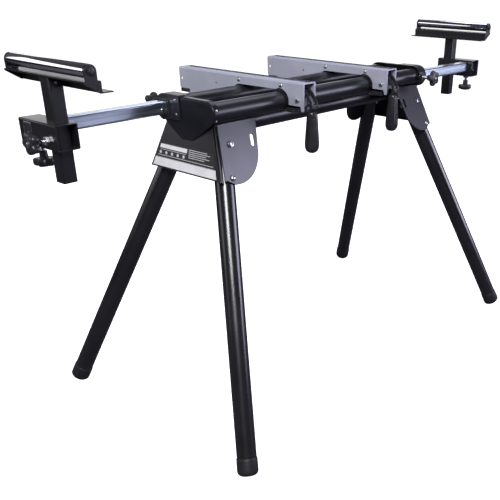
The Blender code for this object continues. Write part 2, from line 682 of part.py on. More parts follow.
def build_lever(make, side):
    """Forked strap lever with a moulded grip, and the jaw it pulls under the front tube."""
    place = along_x((ARM_X[side], LEVER_PIVOT.y, LEVER_PIVOT.z))
    outer = [(-0.0035, 0.0270), (-0.0100, 0.0272), (-0.0170, 0.0215), (-0.0260, 0.0090),
             (-0.0345, -0.0070), (-0.0350, -0.0150), (-0.0310, -0.0220), (-0.0285, -0.0260),
             (-0.0285, -0.0450)]
    inner = [(-0.0240, -0.0450), (-0.0240, -0.0240), (-0.0275, -0.0195), (-0.0300, -0.0140),
             (-0.0300, -0.0085), (-0.0215, 0.0070), (-0.0130, 0.0180), (-0.0085, 0.0200)]
    eye = arc(0.0078, 165, 375, 14)
    strap = make.prism(side + "_clamp_lever", [outer + inner + eye, circle(0.0043, steps=16)],
                       0.0240, place, POWDER_BLACK)
    fork = make.block(side + "_lever_fork", (-0.0300, -0.0150, -0.0070), (0.0200, 0.0400, 0.0070),
                      place)
    waist_a = make.block(side + "_lever_waist_a", (-0.0500, -0.0600, 0.0060),
                         (-0.0200, -0.0235, 0.0200), place)
    waist_b = make.block(side + "_lever_waist_b", (-0.0500, -0.0600, -0.0200),
                         (-0.0200, -0.0235, -0.0060), place)
    cut(strap, fork, waist_a, waist_b)

    grip_place = place @ basis((-0.0263, -0.0243, 0), (0, 0, 1), (0, -1, 0))
    profile = [(0.0, 0.0950), (0.0080, 0.0936), (0.0135, 0.0880), (0.0163, 0.0780),
               (0.0165, 0.0640), (0.0144, 0.0320), (0.0122, 0.0030), (0.0108, 0.0), (0.0, 0.0)]
    grip = make.turned(side + "_lever_grip", profile, grip_place, BLACK_PLASTIC, steps=20)
    socket = make.block(side + "_grip_socket", (-0.0302, -0.0460, -0.0065),
                        (-0.0235, -0.0200, 0.0065), place)
    cut(grip, socket)

    tube = (-TUBE_Y - LEVER_PIVOT.y, TUBE_Z - LEVER_PIVOT.z)
    eye = arc(0.0078, -20, 200, 12)
    body = [(-0.0078, -0.0140), (-0.0040, -0.0290), (0.0340, -0.0310)]
    cup = arc(TUBE_RADIUS + 0.0004, 250, 218, 6, tube)
    jaw = make.prism(side + "_clamp_jaw", [eye + body + cup, circle(0.0043, steps=16)],
                     0.0120, place, BLACK_PLASTIC)
    shoe = [(0.0010, -0.0190), (0.0010, -0.0290), (0.0340, -0.0310)] + cup
    join(jaw, make.prism(side + "_jaw_shoe", [shoe], 0.0340, place))


# ---------------------------------------------------------------- assembly

def main():
    clear_scene()
    make = Builder()
    build_beam(make)
    for name, sx, sy in (("front_left", -1, -1), ("front_right", 1, -1),
                         ("rear_left", -1, 1), ("rear_right", 1, 1)):
        build_leg(make, name, sx, sy)
    for side, angle in (("left", 0.0), ("right", math.pi)):
        turn = Matrix.Rotation(angle, 4, "Z")
        build_end_cap(make, side, turn)
        build_sleeve(make, side, turn)
        build_panel(make, side, turn)
        build_bar(make, side, turn)
        build_block(make, side, turn)
        build_post(make, side, turn)
        build_cradle(make, side, turn)
        build_arm(make, side)
        build_lever(make, side)


main()
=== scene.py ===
"""Looks for the folding mitre saw stand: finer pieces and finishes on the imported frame.

X runs along the beam, -Y is the front where the clamp levers are, and +Z is up. The left end is
at -X. The right end is the same assembly turned half a turn about Z, without the label.
Lengths are in metres. Arcs are given in degrees.
"""

import math

import bmesh
import bpy
from mathutils import Matrix, Vector


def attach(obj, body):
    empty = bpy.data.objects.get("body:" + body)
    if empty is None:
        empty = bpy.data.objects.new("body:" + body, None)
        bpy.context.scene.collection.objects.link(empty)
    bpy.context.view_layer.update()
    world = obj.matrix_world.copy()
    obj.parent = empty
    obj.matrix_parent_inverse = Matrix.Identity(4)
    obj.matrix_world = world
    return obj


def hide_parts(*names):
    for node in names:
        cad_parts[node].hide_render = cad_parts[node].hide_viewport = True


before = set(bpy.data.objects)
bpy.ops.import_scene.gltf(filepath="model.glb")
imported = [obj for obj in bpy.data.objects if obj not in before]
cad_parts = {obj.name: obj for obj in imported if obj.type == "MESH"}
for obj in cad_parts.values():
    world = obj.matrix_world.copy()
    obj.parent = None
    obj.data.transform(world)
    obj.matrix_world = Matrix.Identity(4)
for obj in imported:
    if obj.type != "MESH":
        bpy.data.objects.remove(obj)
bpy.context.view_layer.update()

# Beam
TUBE_R = 0.0215
TUBE_WALL = 0.0014
TUBE_Y = 0.066
TUBE_Z = 0.727
LOWER_Z = 0.680
CAP_X = 0.415

# Legs. When folded they tilt off the plates' slope, two of them inside and two outside.
LEG_R = 0.02225
LEG_WALL = 0.0016
LEG_LENGTH = 0.7236
PIVOT = Vector((0.3766, 0.0683, 0.6527))
LOCK_REACH = 0.0735
SLOPE = math.radians(21.37)
SPLAY = math.radians(16.71)
TILT_INSIDE = math.radians(3.8)
TILT_OUTSIDE = math.radians(4.6)

# Extensions
BAR = 0.028
BAR_START = 0.060
BAR_END = 0.7410
BAR_LOCK_X = 0.3935
BAR_CLAMP_X = 0.7183
POST = 0.0290
POST_X = 0.7162
POST_CLAMP_Z = 0.7155
ROLLER_X = 0.7177
ROLLER_Z = 0.8452
SHEET = 0.0025

# Mount arms and levers
ARM_X = {"left": -0.1631, "right": 0.1708}
ARM_WIDTH = 0.042
ARM_SHEET = 0.0030
LEVER_Y = -0.1207
LEVER_Z = 0.7338
LEVER_HOLE_R = 0.0043


# ---------------------------------------------------------------- placement

def basis(origin, x_axis, z_axis):
    z = Vector(z_axis).normalized()
    x = Vector(x_axis).normalized()
    matrix = Matrix((x, z.cross(x), z)).transposed().to_4x4()
    matrix.translation = Vector(origin)
    return matrix


def along_x(origin=(0.0, 0.0, 0.0)):
    """Outlines drawn in (Y, Z), thickness along X."""
    return basis(origin, (0, 1, 0), (1, 0, 0))


def along_y(origin=(0.0, 0.0, 0.0)):
    """Outlines drawn in (X, Z), thickness along -Y."""
    return basis(origin, (1, 0, 0), (0, -1, 0))


def at(*origin):
    return Matrix.Translation(Vector(origin))


# ---------------------------------------------------------------- outlines

def arc(radius, start, end, steps, centre=(0.0, 0.0)):
    points = []
    for index in range(steps + 1):
        angle = math.radians(start + (end - start) * index / steps)
        points.append((centre[0] + radius * math.cos(angle), centre[1] + radius * math.sin(angle)))
    return points


def circle(radius, centre=(0.0, 0.0), steps=48):
    return arc(radius, 0, 360, steps, centre)[:-1]


def box_loop(width, height, radius, centre=(0.0, 0.0), steps=6):
    points = []
    for sx, sy, start in ((1, 1, 0), (-1, 1, 90), (-1, -1, 180), (1, -1, 270)):
        middle = (centre[0] + sx * (width / 2 - radius), centre[1] + sy * (height / 2 - radius))
        points += arc(radius, start, start + 90, steps, middle)
    return points


def rounded(points, radius, steps=5, closed=True):
    """Rounds the corners of an outline. A point may carry its own radius."""
    made = []
    count = len(points)
    for index, point in enumerate(points):
        if not closed and index in (0, count - 1):
            made.append(Vector(point[:2]))
            continue
        corner = Vector(point[:2])
        size = point[2] if len(point) > 2 else radius
        before = Vector(points[index - 1][:2]) - corner
        after = Vector(points[(index + 1) % count][:2]) - corner
        half = before.angle(after) / 2
        reach = size / math.tan(half) if half > 0.01 else 0.0
        reach = min(reach, before.length * 0.49, after.length * 0.49)
        if size <= 0 or half > 1.55:
            made.append(corner)
            continue
        first = corner + before.normalized() * reach
        last = corner + after.normalized() * reach
        for step in range(steps + 1):
            t = step / steps
            made.append(first * (1 - t) ** 2 + corner * (2 * t * (1 - t)) + last * t ** 2)
    return [(p.x, p.y) for p in made]


def rectangle(x0, x1, y0, y1):
    return [(x0, y0), (x1, y0), (x1, y1), (x0, y1)]


def strip(path, thickness, radius, steps=5):
    """Closed outline of bent sheet whose left side follows the path."""
    line = [Vector(p) for p in path]
    other = []
    for index, point in enumerate(line):
        if index == 0:
            along = line[1] - point
        elif index == len(line) - 1:
            along = point - line[-2]
        else:
            along = (point - line[index - 1]).normalized() + (line[index + 1] - point).normalized()
        along.normalize()
        normal = Vector((along.y, -along.x))
        widen = 1.0
        if 0 < index < len(line) - 1:
            before = point - line[index - 1]
            widen = 1.0 / max(0.4, normal.dot(Vector((before.y, -before.x)).normalized()))
        other.append(point + normal * thickness * widen)
    outer = rounded([tuple(p) for p in line], radius, steps, False)
    inner = rounded([tuple(p) for p in other], radius, steps, False)
    return outer + inner[::-1]


def hull(points):
    ordered = sorted(set(points))

    def half(sequence):
        chain = []
        for p in sequence:
            while len(chain) > 1:
                (ax, ay), (bx, by) = chain[-2], chain[-1]
                if (bx - ax) * (p[1] - ay) - (by - ay) * (p[0] - ax) > 1e-12:
                    break
                chain.pop()
            chain.append(p)
        return chain[:-1]

    return half(ordered) + half(reversed(ordered))


def beam_hull(radius):
    """Rounded triangle around the three beam tubes, in (Y, Z)."""
    points = []
    for y, z in ((-TUBE_Y, TUBE_Z), (TUBE_Y, TUBE_Z), (0.0, LOWER_Z)):
        points += circle(radius, (y, z), 64)
    return hull(points)


def lobed(radius, depth, lobes=5, steps=80):
    """Round outline with hollows between its lobes."""
    points = []
    for index in range(steps):
        angle = 2 * math.pi * index / steps
        dip = (0.5 - 0.5 * math.cos(lobes * angle)) ** 1.3
        reach = radius - depth * dip
        points.append((reach * math.cos(angle), reach * math.sin(angle)))
    return points


# ---------------------------------------------------------------- meshes

def shade(mesh, sharp=38, flat_axis=None, broad=True):
    """Smooth shading, but broad faces and those square to flat_axis stay flat."""
    mesh.shade_smooth()
    mesh.set_sharp_from_angle(angle=math.radians(sharp))
    if not broad:
        return
    for face in mesh.polygons:
        corners = [mesh.vertices[i].co for i in face.vertices]
        longest = max((a - b).length for a in corners[:12] for b in corners[:12])
        wide = face.area > 0.0026 * longest or len(corners) > 12
        if wide or (flat_axis is not None and abs(face.normal.dot(flat_axis)) > 0.9999):
            face.use_smooth = False


def finish_mesh(name, mesh, sharp=38, flat_axis=None):
    obj = bpy.data.objects.new(name, mesh)
    bpy.context.scene.collection.objects.link(obj)
    shade(mesh, sharp, flat_axis)
    return obj


def loft(name, loops, matrix=None, closed=False, sharp=38):
    """Skin over equal-count loops of 3-D points. A one-point loop closes to a tip."""
    cage = bmesh.new()
    rings = [[cage.verts.new(Vector(p)) for p in loop] for loop in loops]
    pairs = list(zip(rings, rings[1:]))
    if closed:
        pairs.append((rings[-1], rings[0]))
    for lower, upper in pairs:
        count = max(len(lower), len(upper))
        for i in range(count):
            j = (i + 1) % count
            if len(lower) == 1:
                cage.faces.new((lower[0], upper[j], upper[i]))
            elif len(upper) == 1:
                cage.faces.new((lower[i], lower[j], upper[0]))
            else:
                cage.faces.new((lower[i], lower[j], upper[j], upper[i]))
    if not closed:
        for ring in (rings[0], rings[-1]):
            if len(ring) > 2:
                cage.faces.new(ring)
    bmesh.ops.recalc_face_normals(cage, faces=cage.faces)
    mesh = bpy.data.meshes.new(name)
    if matrix is not None:
        cage.transform(matrix)
    cage.to_mesh(mesh)
    cage.free()
    return finish_mesh(name, mesh, sharp)


def lathe(name, profile, matrix, closed=False, steps=56, sharp=38):
    """(radius, height) pairs turned about local Z."""
    loops = []
    for radius, height in profile:
        if radius < 1e-6:
            loops.append([(0.0, 0.0, height)])
        else:
            loops.append([(x, y, height) for x, y in circle(radius, steps=steps)])
    return loft(name, loops, matrix, closed, sharp)


def plate(name, loops, thickness, matrix, edge=0.0005, sharp=38):
    """Flat outline with holes, thick along local Z, with softly rounded edges."""
    curve = bpy.data.curves.new(name, "CURVE")
    curve.dimensions = "2D"
    curve.fill_mode = "BOTH"
    curve.extrude = thickness / 2 - edge
    curve.bevel_depth = edge
    curve.bevel_resolution = 1
    curve.offset = -edge
    for loop in loops:
        spline = curve.splines.new("POLY")
        spline.points.add(len(loop) - 1)
        for point, (x, y) in zip(spline.points, loop):
            point.co = (x, y, 0.0, 1.0)
        spline.use_cyclic_u = True
    holder = bpy.data.objects.new(name + "_curve", curve)
    bpy.context.scene.collection.objects.link(holder)
    bpy.context.view_layer.update()
    graph = bpy.context.evaluated_depsgraph_get()
    mesh = bpy.data.meshes.new_from_object(holder.evaluated_get(graph))
    bpy.data.objects.remove(holder, do_unlink=True)
    bpy.data.curves.remove(curve)
    cage = bmesh.new()
    cage.from_mesh(mesh)
    bmesh.ops.remove_doubles(cage, verts=cage.verts, dist=0.000005)
    cage.transform(matrix)
    bmesh.ops.recalc_face_normals(cage, faces=cage.faces)
    cage.to_mesh(mesh)
    cage.free()
    return finish_mesh(name, mesh, sharp, (matrix.to_3x3() @ Vector((0, 0, 1))).normalized())


def pillow(name, loop, low, high, matrix, edge, steps=3):
    """Solid outline from low to high along local Z with rounded rims."""
    centre = Vector((sum(p[0] for p in loop), sum(p[1] for p in loop))) / len(loop)
    size = max((Vector(p) - centre).length for p in loop)
    rims = []
    for index in range(steps + 1):
        angle = math.pi / 2 * index / steps
        rims.append((1 - edge / size * (1 - math.sin(angle)), low + edge * (1 - math.cos(angle))))
    rims += [(scale, high - (height - low)) for scale, height in reversed(rims)]
    rings = [[(centre.x + (x - centre.x) * scale, centre.y + (y - centre.y) * scale, height)
              for x, y in loop] for scale, height in rims]
    return loft(name, rings, matrix)


def cut(obj, *cutters, operation="DIFFERENCE", broad=True):
    for cutter in cutters:
        modifier = obj.modifiers.new("cut", "BOOLEAN")
        modifier.operation = operation
        modifier.solver = "EXACT"
        modifier.object = cutter
    bpy.context.view_layer.update()
    graph = bpy.context.evaluated_depsgraph_get()
    mesh = bpy.data.meshes.new_from_object(obj.evaluated_get(graph))
    obj.modifiers.clear()
    obj.data = mesh
    for cutter in cutters:
        bpy.data.objects.remove(cutter, do_unlink=True)
    shade(mesh, broad=broad)
    return obj


def soften(obj, width):
    """Rounds the sharp edges that a cut leaves."""
    modifier = obj.modifiers.new("edge", "BEVEL")
    modifier.width = width
    modifier.segments = 2
    modifier.limit_method = "ANGLE"
    modifier.angle_limit = math.radians(40)
    modifier.harden_normals = True


def rod(name, radius, low, high, matrix, steps=32):
    return lathe(name, [(radius, low), (radius, high)], matrix, steps=steps)


def merge(name, parts):
    """Joins loose pieces of one finish into one object."""
    cage = bmesh.new()
    for part in parts:
        cage.from_mesh(part.data)
        bpy.data.objects.remove(part, do_unlink=True)
    mesh = bpy.data.meshes.new(name)
    cage.to_mesh(mesh)
    cage.free()
    return finish_mesh(name, mesh)


# ---------------------------------------------------------------- finishes

def node(tree, kind, sockets=None, operation=None):
    """Adds a node. Each socket is given a constant or the output that feeds it."""
    made = tree.nodes.new(kind)
    if operation:
        made.operation = operation
    for key, value in (sockets or {}).items():
        if isinstance(value, bpy.types.NodeSocket):
            tree.links.new(value, made.inputs[key])
        else:
            made.inputs[key].default_value = value
    return made


def blend(tree, factor, first, second):
    """Mixes two colours, each an (R, G, B) constant or an output."""
    mix = tree.nodes.new("ShaderNodeMix")
    mix.data_type = "RGBA"
    tree.links.new(factor, mix.inputs["Factor"])
    for socket, colour in ((mix.inputs[6], first), (mix.inputs[7], second)):
        if isinstance(colour, tuple):
            socket.default_value = (*colour, 1.0)
        else:
            tree.links.new(colour, socket)
    return mix.outputs[2]


class Finish:
    """Node tree builder around one Principled shader, in the piece's own coordinates."""

    def __init__(self, name, metallic=0.0, specular=0.5):
        self.material = bpy.data.materials.new(name)
        self.material.use_nodes = True
        self.tree = self.material.node_tree
        self.shader = self.tree.nodes["Principled BSDF"]
        self.shader.inputs["Metallic"].default_value = metallic
        self.shader.inputs["Specular IOR Level"].default_value = specular
        self.space = node(self.tree, "ShaderNodeTexCoord").outputs["Object"]
        self.normal = None

    def drive(self, socket, source):
        self.tree.links.new(source, self.shader.inputs[socket])

    def noise(self, scale, detail=3.0, stretch=(1, 1, 1)):
        mapping = node(self.tree, "ShaderNodeMapping", {"Scale": stretch, "Vector": self.space})
        return node(self.tree, "ShaderNodeTexNoise", {
            "Scale": scale, "Detail": detail, "Roughness": 0.55,
            "Vector": mapping.outputs["Vector"]}).outputs["Fac"]

    def spread(self, source, low, high, out_low=0.0, out_high=1.0):
        return node(self.tree, "ShaderNodeMapRange", {
            "Value": source, "From Min": low, "From Max": high,
            "To Min": out_low, "To Max": out_high}).outputs["Result"]

    def mottle(self, source, low, high, first, second):
        return blend(self.tree, self.spread(source, low, high), first, second)

    def bump(self, source, distance, strength):
        sockets = {"Distance": distance, "Strength": strength, "Height": source}
        if self.normal is not None:
            sockets["Normal"] = self.normal
        self.normal = node(self.tree, "ShaderNodeBump", sockets).outputs["Normal"]
        self.drive("Normal", self.normal)

    def wear_and_edge_sheen(self, tone, bare_and_sheen):
        """Lightens convex edges, broken up by noise: partly edge wear, partly a painted highlight
        along the edges.
        """
        rounding = node(self.tree, "ShaderNodeBevel", {"Radius": 0.0009})
        rounding.samples = 4
        face = node(self.tree, "ShaderNodeNewGeometry").outputs["Normal"]
        facing = node(self.tree, "ShaderNodeVectorMath", {0: rounding.outputs["Normal"], 1: face},
                      "DOT_PRODUCT").outputs["Value"]
        edge = self.spread(facing, 0.995, 0.90)
        broken = self.spread(self.noise(120.0, 4.0), 0.35, 0.65, 0.25, 1.0)
        both = node(self.tree, "ShaderNodeMath", {0: edge, 1: broken}, "MULTIPLY")
        self.drive("Base Color", blend(self.tree, both.outputs["Value"], tone, bare_and_sheen))


def lighter(colour, factor, lift):
    return tuple(c * factor + lift for c in colour)


def powder(name, base, specular=0.4, rough=(0.27, 0.36)):
    made = Finish(name, specular=specular)
    broad = made.noise(9.0, 4.0)
    tone = made.mottle(broad, 0.35, 0.7, base, lighter(base, 1.5, 0.001))
    # Lighter convex edges: partly wear, partly a painted edge highlight.
    made.wear_and_edge_sheen(tone, lighter(base, 2.6, 0.012))
    made.drive("Roughness", made.spread(broad, 0.3, 0.75, *rough))
    made.bump(made.noise(260.0, 2.0), 0.00012, 0.35)
    made.bump(made.noise(900.0, 2.0), 0.00004, 0.25)
    return made.material


def metal(name, first, second, rough, scale, stretch=(1, 1, 1), bump=0.00005):
    made = Finish(name, metallic=1.0)
    streak = made.noise(scale, 4.0, stretch)
    made.drive("Base Color", made.mottle(streak, 0.3, 0.7, first, second))
    made.drive("Roughness", made.spread(streak, 0.3, 0.7, *rough))
    if bump:
        made.bump(made.noise(scale * 5, 2.0, stretch), bump, 0.4)
    return made.material


def paint(name, first, second, rough):
    made = Finish(name, metallic=0.25)
    broad = made.noise(14.0, 4.0)
    tone = made.mottle(broad, 0.3, 0.7, first, second)
    flake = made.spread(made.noise(2400.0, 1.0), 0.62, 0.75, 0.0, 0.35)
    # Lighter convex edges: partly bare metal showing through, partly a painted edge highlight.
    made.wear_and_edge_sheen(blend(made.tree, flake, tone, (0.78, 0.79, 0.84)), (0.74, 0.75, 0.79))
    made.drive("Roughness", made.spread(broad, 0.3, 0.7, *rough))
    made.bump(made.noise(520.0, 2.0), 0.00006, 0.35)
    return made.material


def plastic(name, base, rough, grain=1400.0, depth=0.00005, specular=0.5):
    made = Finish(name, specular=specular)
    broad = made.noise(30.0, 4.0)
    tone = made.mottle(broad, 0.35, 0.7, base, lighter(base, 1.5, 0.002))
    # Lighter convex edges: partly wear, partly a painted edge highlight.
    made.wear_and_edge_sheen(tone, lighter(base, 2.2, 0.01))
    made.drive("Roughness", made.spread(broad, 0.3, 0.75, *rough))
    made.bump(made.noise(grain, 2.0), depth, 0.5)
    return made.material


def film(name, first, second):
    made = Finish(name, specular=0.35)
    made.drive("Base Color", made.mottle(made.noise(45.0, 5.0), 0.35, 0.7, first, second))
    made.drive("Roughness", made.spread(made.noise(120.0), 0.3, 0.7, 0.34, 0.46))
    made.bump(made.noise(900.0, 2.0), 0.00002, 0.3)
    return made.material


BLACK = powder("powder_black", (0.0085, 0.0082, 0.0105))
BLACK_CAP = powder("powder_black_cap", (0.0072, 0.0070, 0.0105), 0.26)
BLACK_PLATE = powder("powder_black_plate", (0.0110, 0.0105, 0.0155), 0.5)
BLACK_LEG = powder("powder_black_leg", (0.0080, 0.0078, 0.0100), 0.64, (0.19, 0.27))
BLACK_BOLT = powder("black_bolt", (0.0140, 0.0135, 0.0150), 0.5, (0.30, 0.42))
SILVER = paint("silver_paint", (0.40, 0.41, 0.50), (0.46, 0.47, 0.56), (0.36, 0.46))
GALVANISED = metal("galvanised", (0.42, 0.51, 0.60), (0.74, 0.82, 0.88), (0.24, 0.38), 22.0,
                   (0.05, 12, 12))
CHROME = metal("chrome", (0.70, 0.70, 0.73), (0.80, 0.80, 0.83), (0.05, 0.09), 30.0,
               (9, 0.5, 9), 0.0)
ZINC = metal("zinc", (0.42, 0.42, 0.44), (0.62, 0.62, 0.65), (0.24, 0.40), 240.0)
KNOB = plastic("moulded_black", (0.0165, 0.0160, 0.0190), (0.28, 0.38))
GRIP = plastic("grip_black", (0.0140, 0.0136, 0.0170), (0.24, 0.34), 900.0, 0.00006)
RUBBER = plastic("foot_rubber", (0.0120, 0.0116, 0.0135), (0.40, 0.54), 600.0, 0.00010, 0.3)
LABEL_BLACK = film("label_black", (0.0120, 0.0120, 0.0130), (0.0160, 0.0160, 0.0180))
LABEL_PALE = film("label_pale", (0.66, 0.65, 0.66), (0.74, 0.73, 0.74))
LABEL_GREY = film("label_grey", (0.50, 0.49, 0.50), (0.60, 0.59, 0.60))


def put(obj, body, material, *nodes):
    """Gives a piece its finish and its body, and hides the CAD nodes that it stands for."""
    obj.data.materials.clear()
    obj.data.materials.append(material)
    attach(obj, body)
    if nodes:
        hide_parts(*nodes)


# ---------------------------------------------------------------- hardware

def hex_head(name, matrix, across, height, washer=0.0, body="frame", material=ZINC, socket=False):
    """Hexagon head standing on local Z = 0, with chamfered corners and an optional washer."""
    parts = []
    base = 0.0
    if washer:
        base = 0.0012
        rim = [(0.0, 0.0), (washer - 0.0003, 0.0), (washer, 0.0003), (washer, 0.0009),
               (washer - 0.0004, base), (0.0, base)]
        parts.append(lathe(name + "_washer", rim, matrix, steps=32))
    rows = [(1.0, base), (1.0, base + height * 0.72), (0.97, base + height * 0.88),
            (0.86, base + height), (0.55, base + height + 0.0001)]
    if socket:
        rows.append((0.50, base + height * 0.55))
    corners = circle(across / math.sqrt(3), steps=6)
    loops = [[(x * scale, y * scale, z) for x, y in corners] for scale, z in rows]
    parts.append(loft(name + "_hex", loops, matrix, sharp=25))
    put(merge(name, parts), body, material)


def rivet(name, matrix, radius, height, body="frame", material=ZINC):
    profile = [(0.0, height), (radius * 0.35, height * 0.96), (radius * 0.65, height * 0.76),
               (radius * 0.9, height * 0.38), (radius, 0.0), (radius, -0.0004), (0.0, -0.0004)]
    put(lathe(name, profile, matrix, steps=24), body, material)


def star_knob(name, matrix, head, hub_top, screw_tip, cad_name):
    """Five-lobed knob whose screw points up along local Z. The CAD node and body share a name."""
    low, high = head
    outline = lobed(0.0216, 0.0058)
    rows = [(0.62, low), (0.86, low + 0.0006), (0.96, low + 0.0024), (1.0, low + 0.0055),
            (1.0, high - 0.0040), (0.95, high - 0.0014), (0.80, high)]
    loops = [[(x * scale, y * scale, z) for x, y in outline] for scale, z in rows]
    lobes = loft(name + "_lobes", loops, matrix)
    dish = lathe(name + "_dish", [(0.0, low - 0.0002), (0.0050, low - 0.0002),
                                  (0.0062, low - 0.0014), (0.0086, low - 0.0014),
                                  (0.0096, low + 0.0004), (0.0096, low + 0.002),
                                  (0.0, low + 0.002)], matrix)
    neck = lathe(name + "_neck", [(0.0, high - 0.002), (0.0100, high - 0.002), (0.0098, high),
                                  (0.0082, high + 0.001), (0.0074, hub_top - 0.0008),
                                  (0.0066, hub_top), (0.0, hub_top)], matrix)
    put(merge(name, [lobes, dish, neck]), cad_name, KNOB, cad_name)

    thread_top = screw_tip - 0.0006
    turns = max(3, int((screw_tip - hub_top) / 0.0015))
    pitch = (thread_top - hub_top + 0.001) / turns
    profile = [(0.0, screw_tip), (0.0028, screw_tip), (0.0034, thread_top)]
    for index in range(turns):
        top = thread_top - pitch * index
        profile += [(0.0039, top - pitch * 0.25), (0.0039, top - pitch * 0.45),
                    (0.0034, top - pitch * 0.8)]
    profile.append((0.0, profile[-1][1]))
    put(lathe(name + "_screw", profile, matrix, steps=24, sharp=60), cad_name, ZINC)
    cap = [(0.0, low - 0.0010), (0.0026, low - 0.0010), (0.0034, low - 0.0004),
           (0.0034, low + 0.001), (0.0, low + 0.001)]
    put(lathe(name + "_cap", cap, matrix, steps=24), cad_name, ZINC)


# ---------------------------------------------------------------- beam

def build_beam():
    end = CAP_X - 0.0030
    inner = TUBE_R - TUBE_WALL
    for name, y, z in (("front_tube", -TUBE_Y, TUBE_Z), ("rear_tube", TUBE_Y, TUBE_Z),
                       ("lower_tube", 0.0, LOWER_Z)):
        profile = [(inner, -end), (TUBE_R - 0.0004, -end), (TUBE_R, -end + 0.0004),
                   (TUBE_R, end - 0.0004), (TUBE_R - 0.0004, end), (inner, end)]
        tube = lathe(name + "_body", profile, along_x((0, y, z)), True, 72)
        if y:
            out = math.copysign(1, y)
            line = basis((-out * BAR_LOCK_X, y, z), (1, 0, 0), (0, out, 0))
            tube = cut(tube, rod("hole", 0.0050, 0.0, 0.04, line, 24), broad=False)
        put(tube, "frame", BLACK, name)


def build_end_cap(side, turn):
    outer = 0.0262
    rim = 0.0034
    sheet = 0.0022
    depth = 0.0158
    rows = [(outer - 0.016, 0.0004), (outer - 0.008, 0.0001), (outer - rim - 0.0012, 0.0)]
    for step in range(7):
        angle = math.pi / 2 * step / 6
        rows.append((outer - rim + rim * math.sin(angle), rim - rim * math.cos(angle)))
    rows += [(outer, depth - 0.0005), (outer - 0.0005, depth), (outer - sheet + 0.0004, depth),
             (outer - sheet, depth - 0.0005), (outer - sheet, rim + 0.001),
             (outer - sheet - 0.002, sheet), (outer - 0.016, sheet)]
    loops = [[(y, z, x) for y, z in beam_hull(radius)] for radius, x in rows]
    cap = loft(side + "_shield", loops, turn @ along_x((-CAP_X, 0, 0)))
    hole = rod("hole", TUBE_R - TUBE_WALL, -0.02, 0.02,
               turn @ along_x((-CAP_X, TUBE_Y, TUBE_Z)), 48)
    put(cut(cap, hole), "frame", BLACK_CAP, side + "_end_cap")
    for index, angle in enumerate((math.radians(160), math.radians(212))):
        outward = Vector((0, math.cos(angle), math.sin(angle)))
        centre = Vector((-CAP_X + 0.0088, -TUBE_Y, TUBE_Z)) + outward * outer
        rivet(f"{side}_shield_rivet_{index}", turn @ basis(centre, (1, 0, 0), outward),
              0.0026, 0.0011)


def build_sleeve(side, turn):
    """Guide plate on the shield, bent over the tube behind it, with a nut for the lock screw."""
    centre = (TUBE_Y, TUBE_Z)
    radius, inner, front = 0.0290, 0.0266, 0.0150
    outline = arc(radius, 90, -80, 36, centre)
    outline += rounded([(TUBE_Y - 0.006, 0.7020), (TUBE_Y - 0.012, 0.7030, 0.004),
                        (front, 0.7030, 0.003), (front, 0.7560, 0.004), (front + 0.01, 0.7560)],
                       0.003, 5, False)
    hole = box_loop(BAR + 0.0008, BAR + 0.0008, 0.0025, centre)
    face = plate(side + "_guide", [outline, hole], SHEET, turn @ along_x((-0.41675, 0, 0)), 0.0008)
    put(face, "frame", BLACK_PLATE, side + "_bar_sleeve")
    wrap = arc(radius, 90, -35, 30, centre) + arc(inner, -35, 90, 30, centre)
    wrap += [(front + 0.001, TUBE_Z + inner), (front + 0.001, TUBE_Z + radius)]
    put(plate(side + "_wrap", [wrap], 0.0320, turn @ along_x((-0.3998, 0, 0)), 0.0006),
        "frame", BLACK)
    collar = box_loop(BAR + 0.0075, BAR + 0.0075, 0.0040, centre)
    put(plate(side + "_collar", [collar, hole], 0.0030, turn @ along_x((-0.4193, 0, 0)), 0.0008),
        "frame", KNOB)
    for index, z in enumerate((0.7451, 0.7153)):
        rivet(f"{side}_sleeve_rivet_{index}",
              turn @ basis((-0.4180, 0.0277, z), (0, 1, 0), (-1, 0, 0)), 0.0034, 0.0013)
    boss = [(0.0045, radius - 0.002), (0.0092, radius - 0.002), (0.0092, radius + 0.0026),
            (0.0084, radius + 0.0034), (0.0045, radius + 0.0034)]
    line = turn @ basis((-BAR_LOCK_X, TUBE_Y, TUBE_Z), (1, 0, 0), (0, 1, 0))
    put(lathe(side + "_sleeve_boss", boss, line, True), "frame", BLACK)


# ---------------------------------------------------------------- legs

def leg_frame(sx, sy):
    """Where a leg turns, its hinge line, and the way it points folded and opened."""
    inboard = Vector((-sx, 0, 0))
    down = Vector((0, sy * math.sin(SLOPE), -math.cos(SLOPE)))
    outward = Vector((0, sy * math.cos(SLOPE), math.sin(SLOPE)))
    tilt = TILT_INSIDE if sx * sy > 0 else -TILT_OUTSIDE
    folded = math.cos(tilt) * inboard - math.sin(tilt) * outward
    opened = math.cos(SPLAY) * down - math.sin(SPLAY) * inboard
    hinge = folded.cross(opened).normalized()
    if hinge.dot(outward) < 0:
        hinge = -hinge
    return Vector((sx * PIVOT.x, sy * PIVOT.y, PIVOT.z)), hinge, folded, opened


